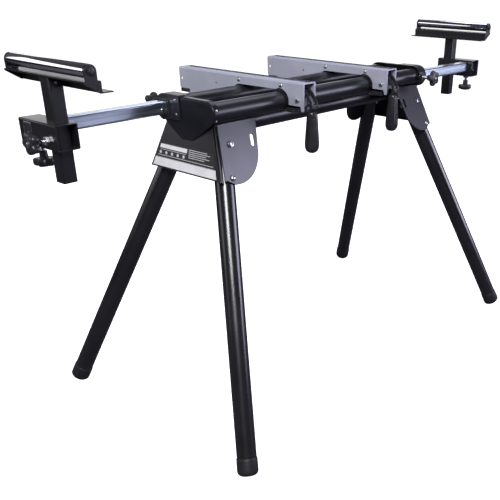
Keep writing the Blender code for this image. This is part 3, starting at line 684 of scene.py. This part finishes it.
def build_leg(name, sx, sy):
    pivot, hinge, folded, opened = leg_frame(sx, sy)
    across = basis(pivot, folded, hinge)
    flip = 1 if (across.to_3x3() @ Vector((0, 1, 0))).z > 0 else -1
    lock = across.inverted() @ (pivot + opened * LOCK_REACH)
    low = LEG_R + 0.0020
    high = low + 0.0025
    trim = 0.0 if sx * sy > 0 else 0.0040
    outline = rounded([(0.109, 0.0455, 0.004), (trim - 0.0225, 0.0445, 0.003),
                       (-0.0470, -0.0775, 0.003)], 0.003)
    outline += arc(0.0870, 259, 340, 40)
    outline = [(u, v * flip) for u, v in outline]
    lean = math.radians(-8) * flip
    slot = []
    for u, v in arc(0.0056, 0, 180, 12, (0, 0.0080)) + arc(0.0056, 180, 360, 12, (0, -0.0080)):
        slot.append((0.0725 + u * math.cos(lean) - v * math.sin(lean),
                     -0.001 * flip + u * math.sin(lean) + v * math.cos(lean)))
    holes = [circle(0.0047), circle(0.0054, (lock.x, lock.y)), slot]
    place = across @ at(0, 0, (low + high) / 2)
    put(plate(name + "_plate", [outline] + holes, high - low, place, 0.0006),
        "frame", BLACK_PLATE, name + "_leg_plate")

    down_leg = basis(pivot, hinge, opened)
    inner = LEG_R - LEG_WALL
    bottom = LEG_LENGTH - 0.0065
    profile = [(inner, -0.020), (LEG_R - 0.0005, -0.020), (LEG_R, -0.0195),
               (LEG_R, bottom - 0.0005), (LEG_R - 0.0005, bottom), (inner, bottom)]
    leg = lathe(name + "_tube", profile, down_leg, True, 72)
    bolt_hole = rod("bolt_hole", 0.0047, -0.05, 0.05, across)
    lock_hole = rod("lock_hole", 0.0052, 0.0, 0.05, across @ at(*lock))
    put(cut(leg, bolt_hole, lock_hole, broad=False), name + "_leg", BLACK_LEG, name + "_leg")

    rim = LEG_LENGTH - 0.040
    inside = LEG_LENGTH - 0.0062
    foot = [(0.0, LEG_LENGTH)]
    foot += [(0.0118 + r, LEG_LENGTH - 0.0105 + h * 0.875)
             for r, h in reversed(arc(0.0120, 0, 90, 8))]
    foot += [(0.0237, rim + 0.0060), (0.0234, rim + 0.0018), (0.0230, rim + 0.0004),
             (LEG_R + 0.0003, rim), (LEG_R + 0.0003, inside), (0.0, inside)]
    put(lathe(name + "_cap", foot, down_leg, steps=64), name + "_leg", RUBBER, name + "_foot")

    shank = rod(name + "_shank", 0.0044, -LEG_R - 0.0050, high + 0.001, across)
    put(shank, "frame", ZINC, name + "_pivot_bolt")
    hex_head(name + "_pivot_head", across @ at(0, 0, high), 0.0130, 0.0040, 0.0078, socket=True)
    hex_head(name + "_pivot_nut",
             across @ at(0, 0, -LEG_R - 0.0006) @ Matrix.Rotation(math.pi, 4, "X"), 0.0130, 0.0052)
    tip = LEG_R + 0.0003
    head = high + 0.0050
    pin = [(0.0, head), (0.0026, head - 0.0001), (0.0048, head - 0.0010), (0.0062, head - 0.0028),
           (0.0066, high + 0.0012), (0.0066, high + 0.0005), (0.0046, high + 0.0005),
           (0.0046, tip + 0.0008), (0.0038, tip), (0.0, tip)]
    put(lathe(name + "_pin", pin, across @ at(lock.x, lock.y, 0), steps=40), name + "_lock_pin",
        ZINC, name + "_lock_pin")


def build_panel(side, turn):
    drop, lean = 0.109, 0.0275
    slope = math.hypot(drop, lean)
    up = Vector((lean, 0, drop)) / slope
    across = Vector((0, -1, 0))
    place = turn @ basis(Vector((-0.405, 0, 0.7025)) - up * slope / 2, across, across.cross(up))

    def trapezium(inset, z):
        """The panel reaches further on the side whose leg plate leans away from it."""
        loop = []
        for sx, sy in ((1, 1), (-1, 1), (-1, -1), (1, -1)):
            top, bottom = (0.0755, 0.1190) if sx > 0 else (0.0730, 0.1138)
            loop.append((sx * ((bottom if sy < 0 else top) - inset), sy * slope / 2, z))
        return loop

    sheet, flange, bend = 0.0018, 0.0080, 0.0022
    rows = []
    for step in range(5):
        angle = math.pi / 2 * step / 4
        rows.append((bend - bend * math.sin(angle), -bend + bend * math.cos(angle)))
    rows += [(0.0, -flange), (sheet, -flange), (sheet, -sheet)]
    panel = loft(side + "_panel", [trapezium(inset, z) for inset, z in rows], place)
    notch = plate("notch", [beam_hull(0.0270)], 0.12, turn @ along_x((-CAP_X, 0, 0)), 0.0)
    cut(panel, notch)
    soften(panel, 0.0003)
    put(panel, "frame", BLACK_CAP, side + "_leg_panel")
    if side == "left":
        build_label(place, slope)


def build_label(place, slope):
    """Film on the left panel: a black field, a pale band below it, and plain marks."""
    base = -slope / 2
    narrowing = 0.040 / slope

    def half_at(v):
        return 0.1070 - narrowing * v

    def patch(name, v0, v1, material, z, ends=None, nodes=()):
        """Strip from v0 to v1 above the panel's foot; ends gives its two ends at a height."""
        (a, b), (c, d) = ((-half_at(v), half_at(v)) if ends is None else ends(v)
                          for v in (v0, v1))
        loop = rounded([(a, base + v0), (b, base + v0), (d, base + v1), (c, base + v1)], 0.0008, 3)
        put(pillow(name, loop, z, z + 0.00022, place, 0.0001, 1), "frame", material, *nodes)

    patch("label_band", 0.0035, 0.0220, LABEL_PALE, 0.0003, nodes=("label_plate",))
    patch("label_field", 0.0232, 0.0560, LABEL_BLACK, 0.0003)
    patch("label_line", 0.0223, 0.0231, LABEL_GREY, 0.0003)
    patch("label_strip", 0.0440, 0.0530, LABEL_PALE, 0.0006,
          lambda v: (-half_at(v) + 0.004, 0.004))
    for index in range(5):
        centre = (-half_at(0.033) + 0.012 + index * 0.0195, base + 0.0345)
        ring = [circle(0.0036, centre, 32), circle(0.0014, centre, 32)]
        dot = [circle(0.0011, centre, 20)]
        for kind, loops, material in (("ring", ring, LABEL_GREY), ("dot", dot, LABEL_PALE)):
            put(plate(f"label_{kind}_{index}", loops, 0.0003, place @ at(0, 0, 0.0007), 0.0),
                "frame", material)
    for index, part in enumerate((0.86, 0.98, 0.80, 0.93, 0.70)):
        v = 0.0525 - index * 0.0042
        start = 0.0100
        stop = start + (half_at(v) - 0.010 - start) * part
        patch(f"label_row_{index}", v - 0.0007, v + 0.0007, LABEL_GREY, 0.0006,
              lambda _, ends=(start, stop): ends)
    patch("label_rule", 0.0276, 0.0288, LABEL_GREY, 0.0006,
          lambda v: (-half_at(v) + 0.006, half_at(v) - 0.006))
    patch("label_small_row", 0.0405, 0.0415, LABEL_GREY, 0.0006,
          lambda v: (-half_at(v) + 0.008, 0.002))


# ---------------------------------------------------------------- extension

def build_bar(side, turn):
    body = side + "_extension"
    hole = box_loop(BAR - 0.0036, BAR - 0.0036, 0.0014)
    tube = plate(side + "_square_bar", [box_loop(BAR, BAR, 0.0042), hole], BAR_END - BAR_START,
                 turn @ along_x((-(BAR_END + BAR_START) / 2, TUBE_Y, TUBE_Z)), 0.0003)
    put(tube, body, GALVANISED, side + "_bar")
    plug = pillow(side + "_plug", box_loop(BAR - 0.0042, BAR - 0.0042, 0.0016), -0.0005, 0.0112,
                  turn @ basis((-BAR_END, TUBE_Y, TUBE_Z), (0, 1, 0), (1, 0, 0)), 0.0006)
    put(plug, body, KNOB, side + "_bar_plug")
    stop = [(0.0, 0.0012), (0.0034, 0.0012), (0.0046, 0.0004), (0.0050, -0.0008), (0.0, -0.0008)]
    face = turn @ basis((-0.4330, TUBE_Y - BAR / 2, TUBE_Z - 0.004), (1, 0, 0), (0, -1, 0))
    put(lathe(side + "_bar_stop", stop, face, steps=32), body, ZINC)
    star_knob(side + "_bar_lock",
              turn @ basis((-BAR_LOCK_X, TUBE_Y, TUBE_Z), (1, 0, 0), (0, -1, 0)),
              (-0.0765, -0.0620), -0.0500, -BAR / 2 - 0.0006, side + "_bar_lock_knob")


def build_block(side, turn):
    body = side + "_block"
    x0, x1 = -0.7414, -0.6952
    y0, y1 = -0.0300, 0.0941
    z0, z1 = 0.6977, 0.7460
    width, height = x1 - x0, z1 - z0
    middle = ((x0 + x1) / 2, (z0 + z1) / 2)
    outer = box_loop(width, height, 0.0030, middle)
    inner = box_loop(width - 2 * SHEET, height - 2 * SHEET, 0.0008, middle)
    block = plate(side + "_box", [outer, inner], y1 - y0, turn @ along_y((0, (y0 + y1) / 2, 0)),
                  0.0004)
    post_hole = plate("post_hole", [box_loop(POST + 0.0012, POST + 0.0012, 0.0020)], 0.1,
                      turn @ at(-POST_X, 0, TUBE_Z), 0.0)
    bar_hole = plate("bar_hole", [box_loop(BAR + 0.0006, BAR + 0.0006, 0.0025)], 0.1,
                     turn @ along_x((-POST_X, TUBE_Y, TUBE_Z)), 0.0)
    post_screw = turn @ basis((x0, 0, POST_CLAMP_Z), (0, 1, 0), (1, 0, 0))
    bar_screw = turn @ at(-BAR_CLAMP_X, TUBE_Y, z0)
    screw_holes = [rod("screw_hole", 0.0045, -0.015, 0.008, place)
                   for place in (post_screw, bar_screw)]
    put(cut(block, post_hole, bar_hole, *screw_holes), body, BLACK, side + "_junction_block")

    for label, place in (("post", post_screw), ("bar", bar_screw)):
        loops = [circle(0.0150 / math.sqrt(3), steps=6), circle(0.0045, steps=30)]
        nut = plate(f"{side}_{label}_nut", loops, 0.0066, place @ at(0, 0, -0.0033), 0.0006, 25)
        put(nut, body, ZINC)
    star_knob(side + "_post_clamp",
              turn @ basis((-POST_X - 0.0146, 0, POST_CLAMP_Z), (0, 1, 0), (1, 0, 0)),
              (-0.0515, -0.0365), -0.0265, -0.0003, side + "_post_knob")
    star_knob(side + "_bar_clamp", turn @ at(-BAR_CLAMP_X, TUBE_Y, TUBE_Z - BAR / 2),
              (-0.0580, -0.0430), -0.0290, -0.0003, side + "_bar_clamp_knob")


def build_head(side, turn):
    body = side + "_head"
    z0, z1 = 0.6340, 0.8264
    hole = box_loop(POST - 0.0036, POST - 0.0036, 0.0012)
    put(plate(side + "_square_post", [box_loop(POST, POST, 0.0026), hole], z1 - z0,
              turn @ at(-POST_X, 0, (z0 + z1) / 2), 0.0003), body, BLACK, side + "_post")

    top, bottom = 0.8293, 0.8075
    outer, wall, flange = -0.7330, -0.6987, -0.6760
    path = [(outer, top), (wall, top), (wall, bottom + SHEET), (flange, bottom + SHEET)]
    rail = plate(side + "_rail", [strip(path, SHEET, 0.0028, 6)], 0.2550, turn @ along_y(), 0.0004)
    put(rail, body, BLACK, side + "_roller_cradle")
    for label, y, out in (("front", -0.1280, -1), ("rear", 0.1280, 1)):
        ear = rounded([(wall, top - 0.002, 0.001), (wall - 0.0006, bottom, 0.002),
                       (wall - 0.0040, bottom, 0.002), (outer, top - 0.0035, 0.002),
                       (outer, top, 0.001), (-ROLLER_X - 0.0120, top, 0.0015)], 0.001, 4)
        ear += list(reversed(arc(0.0122, 0, 180, 24, (-ROLLER_X, ROLLER_Z - 0.0005))))
        ear += rounded([(-ROLLER_X + 0.0122, top + 0.004), (-ROLLER_X + 0.0122, top, 0.0015),
                        (wall, top)], 0.0015, 4, False)[1:-1]
        loops = [ear, circle(0.0043, (-ROLLER_X, ROLLER_Z), 32)]
        put(plate(f"{side}_{label}_ear", loops, SHEET, turn @ along_y((0, y - out * SHEET / 2, 0)),
                  0.0004), body, BLACK)
        facing = turn @ basis((-ROLLER_X, y + out * 0.0003, ROLLER_Z), (1, 0, 0), (0, out, 0))
        hex_head(f"{side}_{label}_axle_head", facing, 0.0100, 0.0036, 0.0072, body, BLACK_BOLT)
    place = turn @ along_y((-ROLLER_X, 0, ROLLER_Z))
    put(rod(side + "_axle", 0.0040, -0.1290, 0.1290, place), body, ZINC, side + "_roller_axle")

    half, radius = 0.1235, 0.0120
    profile = [(0.0043, half - 0.0015), (0.0086, half - 0.0015), (0.0092, half),
               (radius - 0.0014, half), (radius - 0.0004, half - 0.0004), (radius, half - 0.0014)]
    profile += [(r, -h) for r, h in reversed(profile)]
    put(lathe(side + "_roller_tube", profile, place, True, 72), side + "_roller", CHROME,
        side + "_roller")
    face = turn @ basis((-POST_X, -POST / 2, 0.8170), (1, 0, 0), (0, -1, 0))
    rivet(side + "_post_screw", face, 0.0034, 0.0016, body)


# ---------------------------------------------------------------- mount arms

def build_arm(side):
    middle = ARM_X[side]
    body = side + "_arm"
    y0, y1 = -0.139, 0.286
    top, half = 0.7725, ARM_WIDTH / 2
    outline = [(y1, top), (y0, top), (y0, 0.7125)]
    outline += arc(0.0036, 180, 300, 6, (y0 + 0.0036, 0.7125))
    outline += rounded([(-0.1318, 0.7105), (-0.1290, 0.7205, 0.002), (-0.0960, 0.7205)],
                       0.002, 4, False)
    outline += list(reversed(arc(0.0280, 63, 193, 28, (-TUBE_Y, TUBE_Z))))
    outline += list(reversed(arc(TUBE_R + 0.0030, -37, 90, 24, (TUBE_Y, TUBE_Z))))
    outline += rounded([(0.0858, 0.7120), (0.0900, 0.7120), (0.2490, 0.7120, 0.002),
                        (0.2490, 0.7208, 0.001), (y1, 0.7208, 0.004), (y1, 0.7300)],
                       0.001, 4, False)
    side_view = plate(side + "_side_view", [outline], 0.06, along_x((middle, 0, 0)), 0.0)
    path = [(-half, 0.700), (-half, top), (half, top), (half, 0.700)]
    channel = plate(side + "_channel", [strip(path, ARM_SHEET, 0.0042, 8)], y1 - y0 + 0.02,
                    along_y((middle, (y0 + y1) / 2, 0)), 0.0)
    cut(channel, side_view, operation="INTERSECT")
    cut(channel, rod("through", 0.0035, -0.05, 0.05, along_x((middle, 0.2776, 0.745))),
        rod("small", 0.0027, -0.05, -0.010, along_x((middle, 0.1477, 0.745))))
    soften(channel, 0.0005)
    put(channel, body, SILVER, side + "_mount_arm")

    inside = ARM_WIDTH - 2 * ARM_SHEET
    centre = along_x((middle, 0, 0))
    saddle = arc(0.0270, 62, 192, 30) + list(reversed(arc(TUBE_R + 0.0003, 62, 192, 30)))
    put(plate(side + "_saddle", [saddle], inside - 0.0004, along_x((middle, -TUBE_Y, TUBE_Z)),
              0.0006), body, KNOB)
    for label, loop in (("saddle_web", rectangle(-0.0770, -0.0550, 0.7522, 0.7692)),
                        ("rest", rectangle(0.0560, 0.0760, 0.7490, 0.7692))):
        put(plate(f"{side}_{label}", [loop], inside - 0.0004, centre, 0.0008), body, KNOB)
    for out in (-1, 1):
        for label, y in (("front", -0.068), ("rear", 0.068)):
            facing = basis((middle + out * half, y, 0.7612), (0, 1, 0), (out, 0, 0))
            rivet(f"{side}_{label}_saddle_bolt_{out + 1}", facing, 0.0052, 0.0024, body)
        facing = basis((middle + out * half, LEVER_Y, LEVER_Z), (0, 1, 0), (out, 0, 0))
        hex_head(f"{side}_lever_head_{out + 1}", facing, 0.0092, 0.0030, 0.0062, body)
    put(rod(side + "_lever_shaft", 0.0040, -half, half, along_x((middle, LEVER_Y, LEVER_Z))),
        body, ZINC)

    pad = rounded(rectangle(0.2497, 0.2850, 0.7108, 0.7203), 0.002)
    put(plate(side + "_pad", [pad], 0.0408, centre, 0.0010), body, KNOB, side + "_rear_pad")
    plug = rectangle(0.2520, 0.2700, 0.7190, 0.7360)
    put(plate(side + "_pad_plug", [plug], inside - 0.0006, centre, 0.0006), body, KNOB)


def build_lever(side):
    body = side + "_lever"
    place = along_x((ARM_X[side], LEVER_Y, LEVER_Z))
    outer = [(-0.0062, 0.0250, 0.0), (-0.0120, 0.0240, 0.005), (-0.0230, 0.0130, 0.012),
             (-0.0350, -0.0060, 0.012), (-0.0352, -0.0165, 0.007), (-0.0296, -0.0250, 0.004),
             (-0.0296, -0.0450, 0.0)]
    inner = [(-0.0236, -0.0450, 0.0), (-0.0236, -0.0240, 0.004), (-0.0292, -0.0160, 0.004),
             (-0.0290, -0.0090, 0.010), (-0.0190, 0.0070, 0.012), (-0.0110, 0.0165, 0.0)]
    loop = rounded(outer + inner, 0.004, 5, False) + arc(0.0078, 150, 385, 24)
    for out in (-1, 1):
        cheek = plate(f"{side}_cheek_{out + 1}", [loop, circle(LEVER_HOLE_R)], 0.0048,
                      place @ at(0, 0, out * 0.0096), 0.0012)
        put(cheek, body, KNOB, *([side + "_clamp_lever"] if out < 0 else []))
    bridge = [(-0.0340, -0.0100), (-0.0305, -0.0060), (-0.0250, -0.0120), (-0.0240, -0.0250),
              (-0.0290, -0.0262), (-0.0340, -0.0180)]
    put(plate(side + "_bridge", [rounded(bridge, 0.002)], 0.0180, place, 0.0010), body, KNOB)

    rows = [(0.0, 0.0098, 0.0088), (0.0016, 0.0118, 0.0104), (0.0060, 0.0126, 0.0114),
            (0.0200, 0.0134, 0.0124), (0.0400, 0.0146, 0.0138), (0.0580, 0.0159, 0.0152),
            (0.0700, 0.0165, 0.0160), (0.0780, 0.0165, 0.0161), (0.0850, 0.0153, 0.0150),
            (0.0905, 0.0125, 0.0122), (0.0937, 0.0080, 0.0078), (0.0949, 0.0030, 0.0030)]
    power = 2 / 2.4
    loops = []
    for down, half_x, half_y in rows:
        loop = []
        for index in range(64):
            angle = 2 * math.pi * index / 64
            c, s = math.cos(angle), math.sin(angle)
            x = half_x * math.copysign(abs(c) ** power, c)
            y = half_y * math.copysign(abs(s) ** power, s)
            if s < 0 and 0.004 < down < 0.088:
                groove = math.exp(-((x / half_x) / 0.16) ** 2)
                shoulder = math.exp(-((abs(x / half_x) - 0.34) / 0.16) ** 2)
                y += 0.0006 * shoulder - 0.0012 * groove
            loop.append((y, -down, x))
        loops.append(loop)
    grip = loft(side + "_grip", loops, place @ at(-0.0263, -0.0243, 0), sharp=60)
    put(grip, body, GRIP, side + "_lever_grip")


def build_jaw(side):
    body = side + "_jaw"
    place = along_x((ARM_X[side], LEVER_Y, LEVER_Z))
    eye = arc(0.0078, -20, 200, 20)
    cup = arc(TUBE_R + 0.0004, 250, 218, 12, (-TUBE_Y - LEVER_Y, TUBE_Z - LEVER_Z))
    lower = [(-0.0078, -0.0140, 0.002), (-0.0040, -0.0290, 0.003), (0.0330, -0.0310, 0.001)]
    loop = eye + rounded([eye[-1]] + lower + [cup[0]], 0.002, 4, False)[1:-1] + cup
    put(plate(side + "_jaw_arm", [loop, circle(LEVER_HOLE_R)], 0.0120, place, 0.0006), body, KNOB,
        side + "_clamp_jaw")
    shoe = [(0.0010, -0.0190), (0.0010, -0.0290), (0.0330, -0.0310)] + cup
    lug = rounded([(0.0375, -0.0235), (0.0440, -0.0265), (0.0440, -0.0300), (0.0360, -0.0305)],
                  0.001)
    for out in (-1, 1):
        put(plate(f"{side}_jaw_shoe_{out + 1}", [shoe], 0.0104, place @ at(0, 0, out * 0.0113),
                  0.0006), body, KNOB)
        facing = place @ at(0.0180, -0.0265, out * 0.0165)
        if out < 0:
            facing = facing @ Matrix.Rotation(math.pi, 4, "X")
        rivet(f"{side}_jaw_screw_{out + 1}", facing, 0.0022, 0.0010, body, BLACK_BOLT)
        put(plate(f"{side}_jaw_lug_{out + 1}", [lug], 0.0030, place @ at(0, 0, out * 0.0152),
                  0.0005), body, ZINC)


# ---------------------------------------------------------------- stage

def split_rays(tree, others, seen, output):
    """Gives camera rays one shader and all other rays another."""
    path = node(tree, "ShaderNodeLightPath")
    choose = node(tree, "ShaderNodeMixShader",
                  {"Fac": path.outputs["Is Camera Ray"], 1: others, 2: seen})
    tree.links.new(choose.outputs["Shader"], output.inputs["Surface"])


def build_floor():
    """Pale floor that stays dark in reflections, as if seen from a dim studio."""
    floor = pillow("floor", circle(60.0, steps=96), -0.002, -0.0005, Matrix.Identity(4), 0.0005, 1)
    material = bpy.data.materials.new("floor")
    material.use_nodes = True
    tree = material.node_tree
    shader = tree.nodes["Principled BSDF"]
    shader.inputs["Roughness"].default_value = 0.9
    shader.inputs["Specular IOR Level"].default_value = 0.0
    shader.inputs["Emission Color"].default_value = (1.0, 1.0, 1.0, 1.0)
    shader.inputs["Emission Strength"].default_value = 1.0
    noise = node(tree, "ShaderNodeTexNoise", {"Scale": 3.0})
    tree.links.new(blend(tree, noise.outputs["Fac"], (0.86, 0.86, 0.87), (0.90, 0.90, 0.90)),
                   shader.inputs["Base Color"])
    dark = node(tree, "ShaderNodeBsdfDiffuse", {"Color": (0.10, 0.095, 0.11, 1.0)})
    split_rays(tree, dark.outputs["BSDF"], shader.outputs["BSDF"], tree.nodes["Material Output"])
    floor.data.materials.append(material)


def build_world():
    """White behind the stand for the camera, and a dim studio in reflections."""
    world = bpy.data.worlds.new("studio")
    world.use_nodes = True
    tree = world.node_tree
    around = node(tree, "ShaderNodeTexCoord").outputs["Generated"]
    toward = node(tree, "ShaderNodeVectorMath", {0: around, 1: (0.78, 0.62, 0.0)}, "DOT_PRODUCT")
    ramp = node(tree, "ShaderNodeValToRGB", {"Fac": toward.outputs["Value"]})
    first, last = ramp.color_ramp.elements
    first.position, first.color = 0.0, (0.050, 0.049, 0.056, 1.0)
    last.position, last.color = 0.62, (0.085, 0.080, 0.100, 1.0)
    ramp.color_ramp.elements.new(0.22).color = (0.055, 0.054, 0.064, 1.0)
    surround = tree.nodes["Background"]
    tree.links.new(ramp.outputs["Color"], surround.inputs["Color"])
    backdrop = node(tree, "ShaderNodeBackground", {"Color": (1.0, 1.0, 1.0, 1.0), "Strength": 1.05})
    split_rays(tree, surround.outputs["Background"], backdrop.outputs["Background"],
               tree.nodes["World Output"])
    bpy.context.scene.world = world
    bpy.context.scene.view_settings.view_transform = "Standard"


def area_light(name, location, target, size, power, colour=(1.0, 1.0, 1.0)):
    data = bpy.data.lights.new(name, "AREA")
    data.shape = "RECTANGLE"
    data.size, data.size_y = size
    data.energy = power
    data.color = colour
    light = bpy.data.objects.new(name, data)
    light.location = location
    toward = Vector(target) - Vector(location)
    light.rotation_euler = toward.to_track_quat("-Z", "Y").to_euler()
    bpy.context.scene.collection.objects.link(light)


def build_lights():
    area_light("key", (-3.2, -2.7, 3.9), (0, 0, 0.6), (2.0, 2.0), 330, (0.95, 0.96, 1.0))
    area_light("right_back", (3.3, 3.5, 1.80), (0, 0, 0.75), (5.0, 1.5), 34)
    area_light("left_back", (-2.9, 3.0, 1.75), (-0.4, 0, 0.75), (4.6, 1.5), 38)
    area_light("top", (1.5, 0.6, 3.8), (0, 0, 0.6), (2.2, 2.2), 50, (0.80, 0.80, 1.0))
    area_light("right_front", (3.0, -3.1, 1.2), (0, 0, 0.65), (2.5, 1.5), 96, (0.76, 0.76, 1.0))


def build_camera():
    yaw, pitch, roll = (math.radians(v) for v in (-51.392, -27.339, 0.888))
    look = Vector((-math.sin(yaw) * math.cos(pitch), math.cos(yaw) * math.cos(pitch),
                   math.sin(pitch)))
    level = Vector((math.cos(yaw), math.sin(yaw), 0.0))
    above = level.cross(look)
    right = level * math.cos(roll) + above * math.sin(roll)
    up = above * math.cos(roll) - level * math.sin(roll)
    data = bpy.data.cameras.new("camera")
    data.lens = 49.33
    data.sensor_width = 36.0
    data.shift_x = -0.1477
    data.shift_y = 0.1439
    data.clip_start = 0.05
    data.clip_end = 200.0
    camera = bpy.data.objects.new("camera", data)
    camera.matrix_world = Matrix((right, up, -look)).transposed().to_4x4()
    camera.location = (-1.4105, -1.1871, 1.0041)
    bpy.context.scene.collection.objects.link(camera)
    bpy.context.scene.camera = camera


build_camera()
build_floor()
build_world()
build_lights()
build_beam()
for leg_name, leg_x, leg_y in (("front_left", -1, -1), ("front_right", 1, -1),
                               ("rear_left", -1, 1), ("rear_right", 1, 1)):
    build_leg(leg_name, leg_x, leg_y)
for side_name, side_angle in (("left", 0.0), ("right", math.pi)):
    side_turn = Matrix.Rotation(side_angle, 4, "Z")
    for build in (build_end_cap, build_sleeve, build_panel, build_bar, build_block, build_head):
        build(side_name, side_turn)
    for build in (build_arm, build_lever, build_jaw):
        build(side_name)
